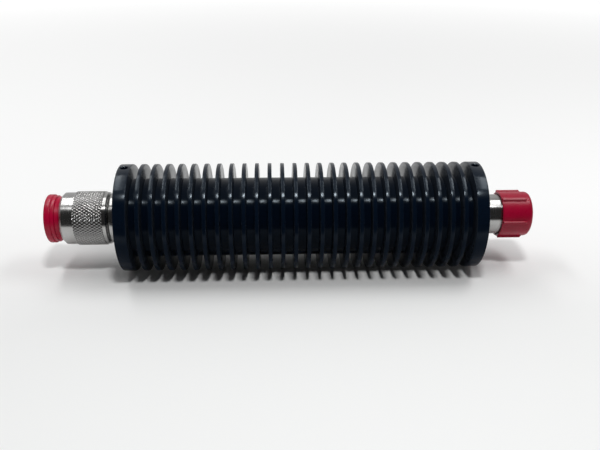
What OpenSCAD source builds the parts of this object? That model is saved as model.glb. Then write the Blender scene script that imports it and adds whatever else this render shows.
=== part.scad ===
// In-line coaxial power attenuator: a round finned heat sink with a plug at one end and a jack at the other.
// The part lies on its fins. +X runs along the axis from the plug to the jack, +Z is up.
// The origin is on the floor, below the middle of the overall length.

/* [Heat sink] */
// Diameter over the fins and the end flanges
fin_d = 42; // [38:0.5:50]
// Diameter of the core between the fins
core_d = 30.7; // [27:0.1:34]
// Number of fins between the flanges
fin_count = 26; // [10:1:40]
// Distance from one fin to the next
fin_pitch = 4.89; // [4:0.01:6]
// Thickness of a fin
fin_t = 1.5; // [1:0.1:2.5]
// Thickness of an end flange
flange_t = 4.7; // [3.8:0.1:8]
// Bevel on the rim of each fin and flange
fin_bevel = 0.3; // [0.1:0.05:0.4]
// Diameter of the bore that holds the carriers
bore_d = 14; // [12.5:0.1:15]
// Diameter of the connector seat in each end
seat_d = 18; // [17:0.1:19.5]
// Depth of the connector seat
seat_depth = 12; // [8:0.5:16]

/* [Set screws] */
// Set screws in each flange
screw_count = 2; // [1:1:4]
// Diameter of a set screw
screw_d = 3; // [2.5:0.1:3.2]
// Length of a set screw
screw_l = 10.5; // [6:0.5:11]
// Width of the hex socket across its corners
socket_d = 1.73; // [1.3:0.01:1.9]
// Depth of the hex socket
socket_depth = 2; // [1:0.1:3]

/* [Coaxial line] */
// Inner diameter of the line's outer conductor
line_d = 7; // [6.4:0.1:7.2]
// Diameter of the line's inner conductor
pin_d = 3.04; // [2.6:0.01:3.2]
// Major diameter of the coupling thread
thread_d = 15.8; // [15.4:0.05:16.2]
// Pitch of the coupling thread
thread_pitch = 1.06; // [0.8:0.01:1.2]
// Diameter of a mating pin's tip
tip_d = 1.65; // [1.4:0.01:1.8]
// Length of an insulator bead
bead_l = 4.5; // [3:0.1:5]

/* [Plug] */
// Diameter of the collar against the heat sink
collar_d = 20.1; // [19:0.1:24]
// Length of the collar
collar_l = 4; // [3:0.1:7]
// Bevel on the collar's outer edge
collar_bevel = 0.4; // [0.2:0.1:0.8]
// Diameter of the neck that the nut turns on
neck_d = 14; // [13:0.1:14.3]
// Length of the neck from the collar
neck_l = 7.4; // [6.5:0.1:8.2]
// Diameter of the hub that centres the gasket
hub_d = 10.5; // [9.5:0.1:11]
// Length of the hub
hub_l = 1.2; // [0.8:0.1:1.4]
// Thickness of the gasket
gasket_t = 1.5; // [1.4:0.1:1.8]
// Outer diameter of the contact sleeve
sleeve_d = 8.05; // [7.6:0.01:8.4]
// Reach of the contact sleeve beyond the neck
sleeve_reach = 8.5; // [7:0.1:9]
// Slots in the contact sleeve
sleeve_slots = 4; // [2:1:6]
// Reach of the pin's shoulder beyond the neck
shoulder_reach = 3.2; // [2:0.1:4]
// Length of the pin's tip
tip_l = 4.2; // [3:0.1:4.8]

/* [Coupling nut] */
// Gap between the collar and the nut
nut_gap = 0.5; // [0.2:0.1:1]
// Length of the nut
nut_l = 18.5; // [16:0.1:20]
// Diameter of the smooth bands
band_d = 20.4; // [19:0.1:22]
// Diameter over the knurl
knurl_d = 21.2; // [20:0.1:23]
// Length of the knurl
knurl_l = 11; // [8:0.1:12]
// Length of the smooth band behind the knurl
back_band_l = 2; // [1.2:0.1:3]
// Bevel on the nut's back edge
back_bevel = 0.7; // [0.3:0.1:1]
// Length of the bevel on the nut's front edge
front_bevel_l = 1.1; // [0.5:0.1:1.5]
// Depth of the bevel on the nut's front edge
front_bevel_d = 0.7; // [0.3:0.1:1]
// Length of the bevel inside the nut's mouth
nut_mouth_l = 1; // [0.5:0.1:1.5]
// Running clearance between the neck and the nut, on the radius
nut_clearance = 0.06; // [0.03:0.01:0.1]
// Width of the retaining ring
ring_w = 1; // [0.6:0.1:1.2]
// Depth of the retaining ring's groove in the neck
ring_groove = 0.7; // [0.4:0.1:0.9]
// Height of the retaining ring above the neck
ring_proud = 0.6; // [0.4:0.1:0.8]

/* [Dust plug] */
// Diameter of the outer disc
plug_disc_d = 19; // [18:0.1:22]
// Thickness of the outer disc
plug_disc_t = 2.25; // [1.5:0.05:3]
// Round on the disc's outer edge
plug_disc_round = 0.4; // [0.2:0.1:1.2]
// Diameter of the inner rim
plug_rim_d = 18.2; // [17.8:0.1:21]
// Width of the inner rim
plug_rim_w = 1.1; // [0.4:0.1:1.5]
// Depth of the groove between the disc and the rim
plug_groove = 0.25; // [0.2:0.05:0.8]
// Diameter of the taper where it meets the rim
plug_taper_d = 17.8; // [16:0.1:17.8]
// Length of the taper left showing outside the nut
plug_shown = 2.05; // [1:0.05:3]
// Length of shank inside the nut
plug_depth = 7; // [5:0.1:7.5]
// Thickness of the plug's end wall
plug_wall = 2.6; // [1.5:0.1:3]

/* [Jack and dust cap] */
// Length of the jack's barrel from the heat sink
jack_l = 19.7; // [18:0.1:24]
// Diameter of the barrel's mouth
mouth_d = 8.4; // [8.1:0.05:9]
// Depth of the mouth
mouth_depth = 9.1; // [8:0.1:10]
// Recess of the socket contact behind the mouth
socket_recess = 4.8; // [3:0.1:6]
// Depth of the relief groove at the foot of the barrel
relief_depth = 0.25; // [0.1:0.05:0.5]
// Diameter of the dust cap's body
cap_d = 17.7; // [17.2:0.1:20]
// Length of the dust cap
cap_l = 12.2; // [9:0.1:14]
// Thickness of the dust cap's end wall
cap_wall = 1.3; // [0.8:0.1:2]
// Round on the dust cap's closed end
cap_round = 1.4; // [0.5:0.1:2]
// Number of ribs on the dust cap
rib_count = 6; // [3:1:12]
// Height of a rib
rib_h = 0.8; // [0.4:0.1:1.5]
// Width of a rib
rib_w = 1; // [0.6:0.1:1.6]
// Length of a rib along its crest
rib_l = 8.9; // [5:0.1:10]
// Angle of the first rib from the top
rib_start = 28; // [0:1:59]

/* [Inside] */
// Width of the resistor card
card_w = 8; // [5:0.1:8.5]
// Thickness of the resistor card
card_t = 1; // [0.6:0.1:1.2]
// Height of the channel above the card's bottom
channel_h = 4; // [3:0.1:4.5]
// Length of the round relief at each end of the carriers
line_relief_l = 5; // [4.5:0.1:6]
// Reach of each inner conductor into that relief
pin_reach = 4.4; // [3.5:0.1:4.4]
// Thickness of a contact tab
tab_t = 0.2; // [0.1:0.05:0.3]
// Width of a contact tab
tab_w = 2; // [1.2:0.1:2.4]
// Length of a contact tab on each piece it joins
tab_lap = 3; // [2:0.1:3.4]

/* [Hidden] */
$fn = 96;
// Overlap that lets one cut run cleanly through a face
cut = 1;
// Clearance of a pushed-on cap or plug, on the radius
push_clearance = 0.1;
// Gap between the cap's end wall and the jack
cap_gap = 0.2;
// Width of the slots in the sprung contacts
slot_w = 0.4;
// Turn of the finned bar that keeps its seam clear of the set screws
seam_turn = 20;

sink_l = 2 * flange_t + fin_count * fin_t + (fin_count + 1) * (fin_pitch - fin_t);
axis_h = fin_d / 2;
neck_end = collar_l + neck_l;
hub_end = neck_end + hub_l;
nut_start = collar_l + nut_gap;
nut_end = nut_start + nut_l;
knurl_start = nut_start + back_band_l;
knurl_end = knurl_start + knurl_l;
thread_minor_d = thread_d - 1.08 * thread_pitch;
shank_d = thread_minor_d - 2 * push_clearance;
plug_taper_start = nut_end - nut_mouth_l;
plug_rim_start = nut_end + plug_shown;
// The nut's mouth has the slope of the plug's taper, so that the taper seats in it
nut_mouth_d = thread_minor_d + (plug_taper_d - shank_d) * nut_mouth_l / (nut_mouth_l + plug_shown);
plug_disc_start = plug_rim_start + plug_rim_w + plug_groove;
plug_end_x = plug_disc_start + plug_disc_t;
cap_end_x = jack_l + cap_gap + cap_wall;
cap_bore_d = thread_d + 2 * push_clearance;
ring_start = nut_start + back_band_l / 2;
carrier_l = sink_l - 2 * seat_depth;
card_l = carrier_l - 2 * line_relief_l;
card_bottom = -card_t / 2;
card_top = card_t / 2;
pin_back = -seat_depth - pin_reach;
// The origin is midway between the two outer ends
sink_x = (plug_end_x - cap_end_x) / 2;

// Round stretch of an outline, as [x, radius] points about a centre
function arc(x, r, size, from, to, steps = 8) = [
    for (i = [0 : steps])
        let (a = from + (to - from) * i / steps)
        [x + size * cos(a), r + size * sin(a)]
];

// Frame of the heat sink: its middle, on the axis
module on_axis() {
    translate([sink_x, 0, axis_h]) children();
}

// Frames of the two ends: x is the distance outwards from the heat sink's face
module at_plug_end() {
    on_axis() translate([-sink_l / 2, 0, 0]) mirror([1, 0, 0]) children();
}

module at_jack_end() {
    on_axis() translate([sink_l / 2, 0, 0]) children();
}

// Round bar along X
module bar(from, to, d) {
    translate([from, 0, 0]) rotate([0, 90, 0]) cylinder(h = to - from, d = d);
}

// Solid of revolution about X, from an outline of [x, radius] points
module turned(outline) {
    rotate([0, 90, 0]) rotate_extrude() polygon([for (p = outline) [p[1], p[0]]]);
}

// Ring about X with a square section
module collar_ring(from, to, inner_d, outer_d) {
    difference() {
        bar(from, to, outer_d);
        bar(from - cut, to + cut, inner_d);
    }
}

// Crossed slots that let a contact spring, cut inwards from its front end
module spring_slots(count, from, to, d) {
    for (i = [0 : count - 1])
        rotate([i * 360 / count, 0, 0])
            translate([from, 0, -slot_w / 2])
                cube([to - from, d, slot_w]);
}

// Rim of one fin or flange with both edges bevelled
function rim(from, to) = [
    [from, fin_d / 2 - fin_bevel],
    [from + fin_bevel, fin_d / 2],
    [to - fin_bevel, fin_d / 2],
    [to, fin_d / 2 - fin_bevel]
];

// Half section of the finned bar: a flange, the fins with the core between them, and the other flange
function finned_outline() =
    let (gap = fin_pitch - fin_t, end = sink_l / 2, first = flange_t + gap - end)
    concat(
        [[-end, 0]],
        rim(-end, flange_t - end),
        [for (i = [0 : fin_count - 1])
            let (x = first + i * fin_pitch)
            each concat([[x - gap, core_d / 2], [x, core_d / 2]], rim(x, x + fin_t))],
        [[end - flange_t - gap, core_d / 2], [end - flange_t, core_d / 2]],
        rim(end - flange_t, end),
        [[end, 0]]
    );

// Places its children at each set screw of one flange, pointing outwards from the axis
module at_set_screws() {
    for (i = [0 : screw_count - 1])
        translate([-flange_t / 2, 0, 0]) rotate([i * 360 / screw_count, 0, 0]) children();
}

module heat_sink() {
    color("#16181c")
    difference() {
        on_axis() rotate([seam_turn, 0, 0]) turned(finned_outline());
        on_axis() bar(-sink_l / 2 - cut, sink_l / 2 + cut, bore_d);
        at_plug_end() bar(-seat_depth, cut, seat_d);
        at_jack_end() bar(-seat_depth, cut, seat_d);
        at_plug_end() at_set_screws() cylinder(h = fin_d, d = screw_d);
        at_jack_end() at_set_screws() cylinder(h = fin_d, d = screw_d);
    }
}

// Set screw standing on the connector's spigot, with its hex socket outwards
module set_screw() {
    translate([0, 0, seat_d / 2])
    difference() {
        cylinder(h = screw_l, d = screw_d);
        translate([0, 0, screw_l - socket_depth]) cylinder(h = socket_depth + cut, d = socket_d, $fn = 6);
    }
}

module plug_end_set_screws() {
    color("#2a2b2e") at_plug_end() at_set_screws() set_screw();
}

module jack_end_set_screws() {
    color("#2a2b2e") at_jack_end() at_set_screws() set_screw();
}

module plug_body() {
    color("#b9b7b2")
    at_plug_end()
    difference() {
        turned([
            [-seat_depth, 0],
            [-seat_depth, seat_d / 2],
            [0, seat_d / 2],
            [0, collar_d / 2],
            [collar_l - collar_bevel, collar_d / 2],
            [collar_l, collar_d / 2 - collar_bevel],
            [collar_l, neck_d / 2],
            [ring_start, neck_d / 2],
            [ring_start, neck_d / 2 - ring_groove],
            [ring_start + ring_w, neck_d / 2 - ring_groove],
            [ring_start + ring_w, neck_d / 2],
            [neck_end, neck_d / 2],
            [neck_end, hub_d / 2],
            [hub_end, hub_d / 2],
            [hub_end, 0]
        ]);
        bar(-seat_depth - cut, hub_end + cut, line_d);
        bar(collar_l, hub_end + cut, sleeve_d);
    }
}

module plug_outer_contact() {
    sleeve_end = neck_end + sleeve_reach;
    color("#c9c2ad")
    at_plug_end()
    difference() {
        collar_ring(collar_l, sleeve_end, line_d, sleeve_d);
        spring_slots(sleeve_slots, hub_end + 1, sleeve_end + cut, sleeve_d);
    }
}

module plug_insulator() {
    color("#f0efe9") at_plug_end() collar_ring(neck_end - bead_l, neck_end, pin_d, line_d);
}

// Inner conductor with a flat at its back end, level with the card's top
module inner_conductor(front) {
    difference() {
        bar(pin_back, front, pin_d);
        translate([pin_back - cut, -pin_d, card_top]) cube([tab_lap + cut, 2 * pin_d, pin_d]);
    }
}

module plug_centre_pin() {
    shoulder = neck_end + shoulder_reach;
    tip_end = shoulder + tip_l;
    tip_bevel = tip_d / 4;
    color("#d8b45a")
    at_plug_end()
    union() {
        inner_conductor(shoulder);
        turned([
            [shoulder - cut, 0],
            [shoulder - cut, tip_d / 2],
            [tip_end - tip_bevel, tip_d / 2],
            [tip_end, tip_d / 2 - tip_bevel],
            [tip_end, 0]
        ]);
    }
}

module plug_gasket() {
    color("#b5482f")
    at_plug_end() collar_ring(neck_end, neck_end + gasket_t, hub_d, shank_d);
}

// Split ring in the neck's groove, reaching into the groove of the nut
module nut_retaining_ring() {
    color("#8d8d8a")
    at_plug_end()
    difference() {
        collar_ring(ring_start, ring_start + ring_w, neck_d - 2 * ring_groove, neck_d + 2 * ring_proud);
        translate([ring_start - cut, -ring_w, 0]) cube([ring_w + 2 * cut, 2 * ring_w, neck_d]);
    }
}

module coupling_nut() {
    ring_room = 0.2;
    thread_start = neck_end - 2;
    color("#a9a8a4")
    at_plug_end()
    difference() {
        turned([
            [nut_start, 0],
            [nut_start, band_d / 2 - back_bevel],
            [nut_start + back_bevel, band_d / 2],
            [knurl_start, band_d / 2],
            [knurl_start, knurl_d / 2],
            [knurl_end, knurl_d / 2],
            [knurl_end, band_d / 2],
            [nut_end - front_bevel_l, band_d / 2],
            [nut_end, band_d / 2 - front_bevel_d],
            [nut_end, 0]
        ]);
        bar(nut_start - cut, nut_end + cut, neck_d + 2 * nut_clearance);
        bar(thread_start, nut_end + cut, thread_minor_d);
        turned([
            [plug_taper_start, 0],
            [plug_taper_start, thread_minor_d / 2],
            [nut_end, nut_mouth_d / 2],
            [nut_end + cut, nut_mouth_d / 2],
            [nut_end + cut, 0]
        ]);
        bar(ring_start - ring_room, ring_start + ring_w + ring_room, neck_d + 2 * ring_proud + 2 * ring_room);
    }
}

module dust_plug() {
    disc_r = plug_disc_d / 2;
    rim_r = plug_rim_d / 2;
    groove_x = plug_rim_start + plug_rim_w + plug_groove / 2;
    color("#b01038")
    at_plug_end()
    difference() {
        turned(concat(
            [
                [nut_end - plug_depth, 0],
                [nut_end - plug_depth, shank_d / 2],
                [plug_taper_start, shank_d / 2],
                [plug_rim_start, plug_taper_d / 2],
                [plug_rim_start, rim_r],
                [plug_rim_start + plug_rim_w, rim_r],
                [groove_x, rim_r - plug_groove],
                [plug_disc_start, disc_r]
            ],
            arc(plug_end_x - plug_disc_round, disc_r - plug_disc_round, plug_disc_round, 90, 0),
            [[plug_end_x, 0]]
        ));
        bar(nut_end - plug_depth - cut, plug_end_x - plug_wall, sleeve_d + 8 * push_clearance);
    }
}

module jack_body() {
    mouth_bevel = 0.6;
    relief_start = 0.8;
    relief_w = 0.8;
    color("#b9b7b2")
    at_jack_end()
    difference() {
        turned([
            [-seat_depth, 0],
            [-seat_depth, seat_d / 2],
            [0, seat_d / 2],
            [0, thread_d / 2],
            [relief_start, thread_d / 2],
            [relief_start, thread_d / 2 - relief_depth],
            [relief_start + relief_w, thread_d / 2 - relief_depth],
            [relief_start + relief_w, thread_d / 2],
            [jack_l - mouth_bevel, thread_d / 2],
            [jack_l, thread_d / 2 - mouth_bevel],
            [jack_l, 0]
        ]);
        bar(-seat_depth - cut, jack_l + cut, line_d);
        bar(jack_l - mouth_depth, jack_l + cut, mouth_d);
    }
}

module jack_insulator() {
    bead_end = jack_l - mouth_depth;
    color("#f0efe9") at_jack_end() collar_ring(bead_end - bead_l, bead_end, pin_d, line_d);
}

module jack_centre_socket() {
    socket_end = jack_l - socket_recess;
    color("#d8b45a")
    at_jack_end()
    difference() {
        inner_conductor(socket_end);
        bar(socket_end - tip_l, socket_end + cut, tip_d);
        spring_slots(4, socket_end - tip_l + cut, socket_end + cut, pin_d);
    }
}

// One rib along the cap, with its far end sloping down to the cap's body
module cap_rib(from) {
    root = (cap_bore_d + cap_d) / 4;
    crest = cap_d / 2 + rib_h;
    translate([0, rib_w / 2, 0])
        rotate([90, 0, 0])
            linear_extrude(height = rib_w)
                polygon([
                    [from, root],
                    [from, crest],
                    [from + rib_l, crest],
                    [from + rib_l + crest - root, root]
                ]);
}

module dust_cap() {
    rim_x = cap_end_x - cap_l;
    rib_inset = 0.2;
    color("#b01038")
    at_jack_end()
    difference() {
        union() {
            turned(concat(
                [[rim_x, 0], [rim_x, cap_d / 2]],
                arc(cap_end_x - cap_round, cap_d / 2 - cap_round, cap_round, 90, 0),
                [[cap_end_x, 0]]
            ));
            for (i = [0 : rib_count - 1])
                rotate([rib_start + i * 360 / rib_count, 0, 0]) cap_rib(rim_x + rib_inset);
        }
        bar(rim_x - cut, jack_l + cap_gap, cap_bore_d);
    }
}

// Part of the carriers' round bar above or below the plane that the card lies on
module carrier_half(upper) {
    difference() {
        bar(-carrier_l / 2, carrier_l / 2, bore_d);
        translate([-sink_l / 2, -bore_d, upper ? card_bottom - 2 * bore_d : card_bottom])
            cube([sink_l, 2 * bore_d, 2 * bore_d]);
        bar(-carrier_l / 2 - cut, line_relief_l - carrier_l / 2, line_d);
        bar(carrier_l / 2 - line_relief_l, carrier_l / 2 + cut, line_d);
    }
}

module lower_carrier() {
    color("#c8c9cb") on_axis() carrier_half(false);
}

module upper_carrier() {
    color("#c8c9cb")
    on_axis()
    difference() {
        carrier_half(true);
        translate([-sink_l / 2, -card_w / 2, card_bottom - cut]) cube([sink_l, card_w, channel_h + cut]);
    }
}

module attenuator_card() {
    color("#e8e6dc")
    on_axis() translate([-card_l / 2, -card_w / 2, card_bottom]) cube([card_l, card_w, card_t]);
}

// Strip that laps the inner conductor's flat and the end of the card
module contact_tab() {
    card_end = (sink_l - card_l) / 2;
    translate([-card_end - tab_lap, -tab_w / 2, card_top])
        cube([pin_back + tab_lap + card_end + tab_lap, tab_w, tab_t]);
}

module plug_contact_tab() {
    color("#d8b45a") at_plug_end() contact_tab();
}

module jack_contact_tab() {
    color("#d8b45a") at_jack_end() contact_tab();
}

heat_sink();
plug_end_set_screws();
jack_end_set_screws();
plug_body();
plug_outer_contact();
plug_insulator();
plug_centre_pin();
plug_gasket();
nut_retaining_ring();
coupling_nut();
dust_plug();
jack_body();
jack_insulator();
jack_centre_socket();
dust_cap();
lower_carrier();
upper_carrier();
attenuator_card();
plug_contact_tab();
jack_contact_tab();
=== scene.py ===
# %% [markdown]
# # A finned power attenuator, dressed for its portrait
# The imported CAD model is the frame: every piece below sits where its solid sits and rides on its body.
# This lesson makes the surfaces that a solid model leaves out, such as the rounded fins, the diamond knurl
# and the coupling threads, and then the finishes, the light and the camera.

# %% Load the frame
import bpy
import bmesh
import math
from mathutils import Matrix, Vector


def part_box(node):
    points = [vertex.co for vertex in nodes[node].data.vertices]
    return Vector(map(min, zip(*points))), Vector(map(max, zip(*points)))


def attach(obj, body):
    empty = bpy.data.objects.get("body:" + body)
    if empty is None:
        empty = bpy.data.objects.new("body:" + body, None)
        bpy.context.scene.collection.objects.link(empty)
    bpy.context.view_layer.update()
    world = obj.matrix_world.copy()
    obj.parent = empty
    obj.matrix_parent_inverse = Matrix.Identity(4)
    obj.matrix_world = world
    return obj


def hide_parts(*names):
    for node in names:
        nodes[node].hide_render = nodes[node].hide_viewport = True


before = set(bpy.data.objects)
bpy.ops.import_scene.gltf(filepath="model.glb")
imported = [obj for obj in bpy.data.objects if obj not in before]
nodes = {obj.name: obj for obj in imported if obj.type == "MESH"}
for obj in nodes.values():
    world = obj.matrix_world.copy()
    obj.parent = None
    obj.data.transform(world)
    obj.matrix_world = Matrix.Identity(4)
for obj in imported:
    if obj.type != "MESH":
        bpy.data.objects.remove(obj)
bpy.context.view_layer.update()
scene = bpy.context.scene
MM = 0.001

# %% [markdown]
# Everything round on this object turns about one axis. The heat sink's own box gives that axis and the two
# end faces, so no place is typed in twice: a length u runs outwards from the plug end's face, and a length v
# outwards from the jack end's face.

# %% Measure the axis and the two ends
sink_low, sink_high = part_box("heat_sink")
axis_z = (sink_low.z + sink_high.z) / 2
fin_r = (sink_high.z - sink_low.z) / 2
plug_face = sink_low.x
jack_face = sink_high.x
sink_middle = (plug_face + jack_face) / 2


def at_u(u):
    return plug_face - u * MM


def at_v(v):
    return jack_face + v * MM


print(f"axis at z {axis_z / MM:.2f} mm, fin radius {fin_r / MM:.2f} mm")
print(f"end faces at {plug_face / MM:.2f} and {jack_face / MM:.2f} mm")

# %% [markdown]
# ## Tools for building node trees
# Geometry Nodes and materials are both trees of nodes, so a few small helpers serve for both. One adds a node
# and joins it to what feeds it, one does a sum, and two take a vector apart and put it together. Short names
# keep the trees below readable.

# %% Helpers for any node tree


def add(tree, kind, feeds=None, **settings):
    """Adds a node. A feed is a socket to link from, or a plain value."""
    made = tree.nodes.new(kind)
    for key, value in settings.items():
        setattr(made, key, value)
    for key, value in (feeds or {}).items():
        if isinstance(value, bpy.types.NodeSocket):
            tree.links.new(value, made.inputs[key])
        else:
            made.inputs[key].default_value = value
    return made


def calc(tree, operation, *terms):
    """One step of arithmetic, returned as a socket."""
    return add(tree, "ShaderNodeMath", dict(enumerate(terms)), operation=operation).outputs[0]


def parts_of(tree, vector):
    """The x, y and z of a vector."""
    return add(tree, "ShaderNodeSeparateXYZ", {0: vector}).outputs


def vector_of(tree, *parts):
    """A vector from its x, y and z. What isn't given stays 0."""
    return add(tree, "ShaderNodeCombineXYZ", dict(enumerate(parts))).outputs[0]


print("helpers for any tree ready")

# %% [markdown]
# A tree that makes a shape has named inputs for its sizes, so that one tree can serve for several pieces. It
# runs as a modifier on a starting mesh. The result is then kept as a plain mesh and the modifier goes.

# %% Helpers for trees that make shapes
SEAM = 0.002 * MM


def shape_tree(name, inputs):
    """An empty Geometry Nodes tree with named inputs, and the node that hands them out."""
    tree = bpy.data.node_groups.new(name, "GeometryNodeTree")
    tree.interface.new_socket("Geometry", in_out="INPUT", socket_type="NodeSocketGeometry")
    for label, kind in inputs.items():
        tree.interface.new_socket(label, in_out="INPUT", socket_type="NodeSocket" + kind)
    tree.interface.new_socket("Geometry", in_out="OUTPUT", socket_type="NodeSocketGeometry")
    return tree, add(tree, "NodeGroupInput").outputs


def point_number(tree):
    return add(tree, "GeometryNodeInputIndex").outputs[0]


def as_curve(tree, line):
    return add(tree, "GeometryNodeMeshToCurve", {"Mesh": line}).outputs[0]


def moved(tree, mesh, where):
    """A mesh with its points put at the given places."""
    return add(tree, "GeometryNodeSetPosition", {"Geometry": mesh, "Position": where}).outputs[0]


def made_real(tree, copies):
    return add(tree, "GeometryNodeRealizeInstances", {"Geometry": copies}).outputs[0]


def close_tree(tree, mesh, material):
    """Ends a tree: seams merged, instances made real, material set."""
    merged = add(tree, "GeometryNodeMergeByDistance", {"Geometry": mesh, "Distance": SEAM}).outputs[0]
    real = made_real(tree, merged)
    dressed = add(tree, "GeometryNodeSetMaterial", {"Geometry": real, "Material": material}).outputs[0]
    add(tree, "NodeGroupOutput", {"Geometry": dressed})


def grow(name, start, tree, sizes):
    """Runs a tree on a starting mesh and keeps the result as a plain mesh object."""
    piece = bpy.data.objects.new(name, start)
    scene.collection.objects.link(piece)
    maker = piece.modifiers.new(name, "NODES")
    maker.node_group = tree
    for item in tree.interface.items_tree:
        if item.in_out == "INPUT" and item.name in sizes:
            maker[item.identifier] = sizes[item.name]
    graph = bpy.context.evaluated_depsgraph_get()
    made = bpy.data.meshes.new_from_object(piece.evaluated_get(graph))
    piece.modifiers.clear()
    piece.data = made
    made.name = name
    return piece


print("helpers for shapes ready, seams closed at", round(SEAM / MM, 4), "mm")

# %% [markdown]
# ## Turning on a lathe
# Most pieces here were turned on a lathe. The rule is always the same: a half section, drawn as points of
# distance along the axis and radius, is swung round the axis. The tree first rounds each corner by the
# amount stored on that corner, because no real edge is perfectly sharp and a tiny round is what catches
# the light. The Screw modifier could do the swinging too, but a tree can round and swing in one go.

# %% Helpers that round and swing
CORNER_STEPS = 3


def ease(tree, curve, radius):
    """Rounds each corner of a curve."""
    feeds = {"Curve": curve, "Count": CORNER_STEPS, "Radius": radius, "Limit Radius": True}
    return add(tree, "GeometryNodeFilletCurve", feeds, mode="POLY").outputs[0]


def round_grid(tree, rows, segments):
    """A grid to be laid round the axis, with the row and the column of each point."""
    around = calc(tree, "ADD", segments, 1.0)
    grid = add(tree, "GeometryNodeMeshGrid", {"Vertices X": rows, "Vertices Y": around}).outputs["Mesh"]
    index = point_number(tree)
    row = calc(tree, "FLOOR", calc(tree, "DIVIDE", calc(tree, "ADD", index, 0.5), around))
    column = calc(tree, "SUBTRACT", index, calc(tree, "MULTIPLY", row, around))
    return grid, row, column


def from_outline(tree, outline, value, row, kind):
    """What an outline holds at the point that a row of the grid stands for."""
    return add(tree, "GeometryNodeSampleIndex", {"Geometry": outline, "Value": value, "Index": row},
               data_type=kind, domain="POINT").outputs[0]


def swing(tree, outline, segments):
    """Swings an outline curve round: a grid whose rows are the outline's points, and where its points go."""
    measured = add(tree, "GeometryNodeAttributeDomainSize", {0: outline}, component="CURVE")
    grid, row, column = round_grid(tree, measured.outputs["Point Count"], segments)
    place = add(tree, "GeometryNodeInputPosition").outputs[0]
    along, radius, _ = parts_of(tree, from_outline(tree, outline, place, row, "FLOAT_VECTOR"))
    turn = calc(tree, "DIVIDE", calc(tree, "MULTIPLY", column, math.tau), segments)
    return grid, along, radius, turn, row


def lay_round(tree, grid, along, radius, turn, axis):
    """Lays a grid's points round the axis at the given places."""
    side = calc(tree, "MULTIPLY", radius, calc(tree, "SINE", turn))
    height = calc(tree, "ADD", calc(tree, "MULTIPLY", radius, calc(tree, "COSINE", turn)), axis)
    return moved(tree, grid, vector_of(tree, along, side, height))


print("a corner is rounded in", CORNER_STEPS, "steps")

# %% The lathe tree
LATHE_SEGMENTS = 128

lathe, given = shape_tree("lathe", {"Segments": "Int", "Axis height": "Float", "Finish": "Material"})
corner = add(lathe, "GeometryNodeInputNamedAttribute", {"Name": "round"}, data_type="FLOAT").outputs[0]
drawn = ease(lathe, as_curve(lathe, given["Geometry"]), corner)
grid, along, radius, turn, _ = swing(lathe, drawn, given["Segments"])
close_tree(lathe, lay_round(lathe, grid, along, radius, turn, given["Axis height"]), given["Finish"])


def outline_mesh(name, points):
    """A half section as a mesh line. A point is (x, radius) or (x, radius, round): metres, then mm."""
    line = bpy.data.meshes.new(name)
    places = [(p[0], p[1] * MM, 0) for p in points]
    line.from_pydata(places, [(i, i + 1) for i in range(len(points) - 1)], [])
    rounds = line.attributes.new("round", "FLOAT", "POINT")
    rounds.data.foreach_set("value", [(p[2] if len(p) > 2 else 0.0) * MM for p in points])
    return line


def turned(name, points, finish, segments=LATHE_SEGMENTS):
    return grow(name, outline_mesh(name, points), lathe,
                {"Segments": segments, "Axis height": axis_z, "Finish": finish})


print("lathe tree ready, segments:", LATHE_SEGMENTS)

# %% [markdown]
# A piece can be made of several parts that share their rings of points where they meet. They are merged into
# one closed mesh, its faces are turned outwards, and edges sharper than the crease angle stay sharp.

# %% Helper that finishes a mesh
TINY = 0.0001 * MM
CREASE = 32


def finished(name, parts, crease=CREASE):
    """Joins parts into one closed mesh: doubles merged, faces outwards, smooth but for the sharp edges."""
    whole = bmesh.new()
    for part in parts:
        whole.from_mesh(part.data)
    bmesh.ops.remove_doubles(whole, verts=whole.verts, dist=SEAM)
    bmesh.ops.dissolve_degenerate(whole, edges=whole.edges, dist=TINY)
    bmesh.ops.recalc_face_normals(whole, faces=whole.faces)
    holes = sum(1 for e in whole.edges if not e.is_manifold)
    made = bpy.data.meshes.new(name)
    whole.to_mesh(made)
    whole.free()
    for m in parts[0].data.materials:
        made.materials.append(m)
    for part in parts:
        bpy.data.objects.remove(part)
    made.shade_smooth()
    made.set_sharp_from_angle(angle=math.radians(crease))
    piece = bpy.data.objects.new(name, made)
    scene.collection.objects.link(piece)
    print(f"{name}: {len(made.polygons)} faces, {holes} open edges")
    return piece


print("edges stay sharp past", CREASE, "degrees")

# %% [markdown]
# ## Finishes
# Each finish is a small node tree on the Principled shader. Turned metal has fine rings about its axis, so
# its pattern is read from just two numbers, the distance along the axis and the radius; that makes rings on
# a rim and circles on a flat face alike. Moulded and soft pieces get a soft uneven skin instead.

# %% Helpers for finishes
QUARTER_TURN = 0.25


def finish(name):
    """A new material and its tree, shader and Object coordinates."""
    made = bpy.data.materials.new(name)
    made.use_nodes = True
    tree = made.node_tree
    shader = tree.nodes["Principled BSDF"]
    place = add(tree, "ShaderNodeTexCoord").outputs["Object"]
    return made, tree, shader, place


def lathe_rings(tree, place):
    """Along-axis distance and radius as a vector: a pattern on it makes rings."""
    x, y, z = parts_of(tree, place)
    up = calc(tree, "SUBTRACT", z, axis_z)
    squares = calc(tree, "ADD", calc(tree, "MULTIPLY", y, y), calc(tree, "MULTIPLY", up, up))
    return vector_of(tree, x, calc(tree, "SQRT", squares))


def grain(tree, place, scale, detail=3.0, rough=0.55):
    return add(tree, "ShaderNodeTexNoise", {
        "Vector": place, "Scale": scale, "Detail": detail, "Roughness": rough}).outputs["Fac"]


def spread(tree, value, low, high, start=0.3, stop=0.7):
    """Maps the range from start to stop onto low to high. A pattern's middle range is the usual one."""
    return add(tree, "ShaderNodeMapRange", {"Value": value, "From Min": start, "From Max": stop,
                                            "To Min": low, "To Max": high}).outputs[0]


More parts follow.
